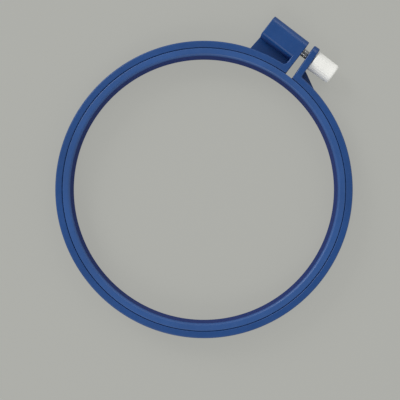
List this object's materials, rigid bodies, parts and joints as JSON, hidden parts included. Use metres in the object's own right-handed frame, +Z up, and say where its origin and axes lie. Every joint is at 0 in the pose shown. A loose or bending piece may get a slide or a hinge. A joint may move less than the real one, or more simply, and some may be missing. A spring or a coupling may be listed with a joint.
{
  "type": "embroidery hoop",
  "caption": "Round plastic embroidery hoop: an inner ring held in a split outer ring, whose lugs are drawn together by a screw with a white knob and a nut in a boxed lug.",
  "frame": {"origin": "middle of the underside of the box round the whole hoop, lugs included; the rings' common centre is at (0, -0.0093135, 0)", "axes": "+X along the clamp screw towards its knob, +Y from the rings' centre towards the lugs, +Z up through the rings' opening"},
  "size_m": [0.16, 0.1788, 0.012],
  "materials": {
    "outer_ring_plastic": "moulded, satin",
    "inner_ring_plastic": "moulded, satin",
    "knob_plastic": "moulded, satin",
    "plated_steel": "zinc plated"
  },
  "bodies": {
    "outer_ring": {"outer_ring_nut_arm": "outer_ring_plastic"},
    "free_arm": {"outer_ring_tab_arm": "outer_ring_plastic"},
    "inner_ring": {"inner_ring": "inner_ring_plastic"},
    "screw": {"clamp_screw": "plated_steel", "knob": "knob_plastic"},
    "nut": {"clamp_nut": "plated_steel"}
  },
  "joints": [
    {"name": "ring_flex", "type": "hinge", "parent": "outer_ring", "child": "free_arm", "pos_m": [0, -0.08754, 0.006], "axis": [0, 0, -1], "range_deg": [0, 1.62]},
    {"name": "screw_turn", "type": "hinge", "parent": "free_arm", "child": "screw", "pos_m": [0, 0.08289, 0.006], "axis": [1, 0, 0], "range_deg": [0, 2160]},
    {"name": "nut_travel", "type": "slide", "parent": "free_arm", "child": "nut", "axis": [-1, 0, 0], "range_m": [0, 0.0049]},
    {"name": "inner_ring_lift", "type": "slide", "parent": "outer_ring", "child": "inner_ring", "axis": [0, 0, 1], "range_m": [0, 0.03]}
  ],
  "couplings": [
    {"joint": "ring_flex", "follows": "screw_turn", "ratio": 0.0007471},
    {"joint": "nut_travel", "follows": "screw_turn", "m_per_rad": 0.00012732}
  ]
}
